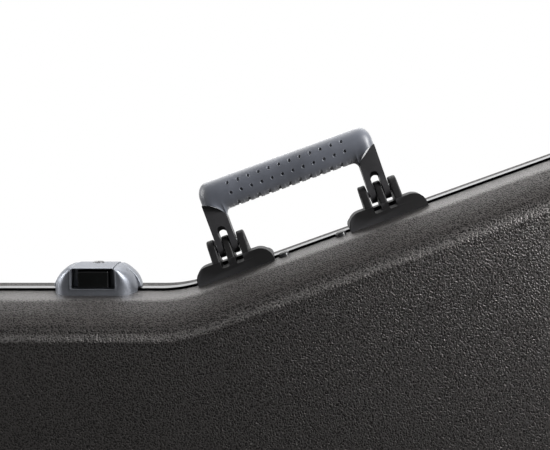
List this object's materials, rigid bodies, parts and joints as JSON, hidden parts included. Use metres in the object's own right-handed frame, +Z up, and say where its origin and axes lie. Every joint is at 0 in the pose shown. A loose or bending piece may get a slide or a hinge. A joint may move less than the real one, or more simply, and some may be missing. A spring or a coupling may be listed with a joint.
{
  "type": "guitar case",
  "caption": "Moulded hard case for an acoustic guitar, standing on its hinged spine, with a folding top handle, over-centre latches and a padded fitted interior.",
  "frame": {"origin": "centre of the footprint at ground level, under the feet on the hinge spine; the lid and base meet on the plane y = 0", "axes": "+Z up with the case standing on its spine and the handle on top, +X towards the wide body end, -X towards the headstock end, lid half on -Y and base half on +Y"},
  "size_m": [1.162, 0.176, 0.4909],
  "materials": {
    "shell": "pebble-grained black polyethylene, slightly glossy",
    "rim_alloy": "ribbed mill aluminium extrusion",
    "rubber": "black rubber",
    "plush": "short black plush over foam",
    "ribbon": "woven black ribbon",
    "black_nylon": "matte black glass-filled nylon",
    "grip": "soft dimpled blue-black rubber",
    "steel": "plated steel",
    "latch_paint": "metallic blue-grey paint",
    "trigger": "black plastic",
    "lock_metal": "satin nickel"
  },
  "bodies": {
    "base": {"base_shell": "shell", "base_valance": "rim_alloy", "rim_seal": "rubber", "base_foam": "plush", "neck_cradle": "plush", "handle_bracket_left": "black_nylon", "handle_bracket_right": "black_nylon", "handle_pin_left": "steel", "handle_pin_right": "steel", "handle_backing_plate": "steel", "handle_screw_1": "steel", "handle_screw_2": "steel", "handle_screw_3": "steel", "handle_screw_4": "steel", "hinge_base_leaf_1": "steel", "hinge_pin_1": "steel", "hinge_base_leaf_2": "steel", "hinge_pin_2": "steel", "hinge_base_leaf_3": "steel", "hinge_pin_3": "steel", "base_foot_left": "rubber", "base_foot_right": "rubber", "hasp_mount_head": "latch_paint", "hasp_mount_centre": "latch_paint", "hasp_mount_body": "latch_paint", "hasp_pin_head": "steel", "hasp_pin_centre": "steel", "hasp_pin_body": "steel"},
    "lid": {"lid_shell": "shell", "lid_valance": "rim_alloy", "lid_lining": "plush", "lid_foot_left": "rubber", "lid_foot_right": "rubber", "valance_rivet_left": "black_nylon", "valance_rivet_right": "black_nylon", "hinge_lid_leaf_1": "steel", "hinge_lid_leaf_2": "steel", "hinge_lid_leaf_3": "steel", "latch_housing_head": "latch_paint", "latch_housing_centre": "latch_paint", "latch_housing_body": "latch_paint", "trigger_spring_head": "steel", "trigger_spring_centre": "steel", "trigger_spring_body": "steel"},
    "carry_handle": {"handle_core": "black_nylon", "handle_grip": "grip"},
    "accessory_door": {"compartment_door": "plush", "compartment_pull_tab": "ribbon"},
    "lock": {"lock_cylinder": "lock_metal"},
    "hasp_plate_head": {"hasp_head": "latch_paint"},
    "trigger_button_head": {"trigger_head": "trigger"},
    "hasp_plate_centre": {"hasp_centre": "latch_paint"},
    "trigger_button_centre": {"trigger_centre": "trigger"},
    "hasp_plate_body": {"hasp_body": "latch_paint"},
    "trigger_button_body": {"trigger_body": "trigger"}
  },
  "joints": [
    {"name": "lid_hinge", "type": "hinge", "parent": "base", "child": "lid", "pos_m": [0, 0, 0.0045], "axis": [1, 0, 0], "range_deg": [0, 100]},
    {"name": "handle_fold", "type": "hinge", "parent": "base", "child": "carry_handle", "pos_m": [0.02527, 0.003, 0.39504], "axis": [0.9403, 0, 0.3404], "range_deg": [-90, 90]},
    {"name": "accessory_door_hinge", "type": "hinge", "parent": "base", "child": "accessory_door", "pos_m": [-0.1875, 0.005, 0.0475], "axis": [1, 0, 0], "range_deg": [0, 90]},
    {"name": "lock_turn", "type": "hinge", "parent": "hasp_plate_centre", "child": "lock", "pos_m": [-0.161, 0.008, 0.351], "axis": [0, 0, 1], "range_deg": [0, 90]},
    {"name": "hasp_hinge_head", "type": "hinge", "parent": "base", "child": "hasp_plate_head", "pos_m": [-0.48, 0.02, 0.3405], "axis": [-1, 0, 0], "range_deg": [0, 100]},
    {"name": "trigger_press_head", "type": "slide", "parent": "lid", "child": "trigger_button_head", "axis": [0, 1, 0], "range_m": [0, 0.003]},
    {"name": "hasp_hinge_centre", "type": "hinge", "parent": "base", "child": "hasp_plate_centre", "pos_m": [-0.161, 0.02, 0.3405], "axis": [-1, 0, 0], "range_deg": [0, 100]},
    {"name": "trigger_press_centre", "type": "slide", "parent": "lid", "child": "trigger_button_centre", "axis": [0, 1, 0], "range_m": [0, 0.003]},
    {"name": "hasp_hinge_body", "type": "hinge", "parent": "base", "child": "hasp_plate_body", "pos_m": [0.402, 0.02, 0.4775], "axis": [-1, 0, 0], "range_deg": [0, 100]},
    {"name": "trigger_press_body", "type": "slide", "parent": "lid", "child": "trigger_button_body", "axis": [0, 1, 0], "range_m": [0, 0.003]}
  ]
}
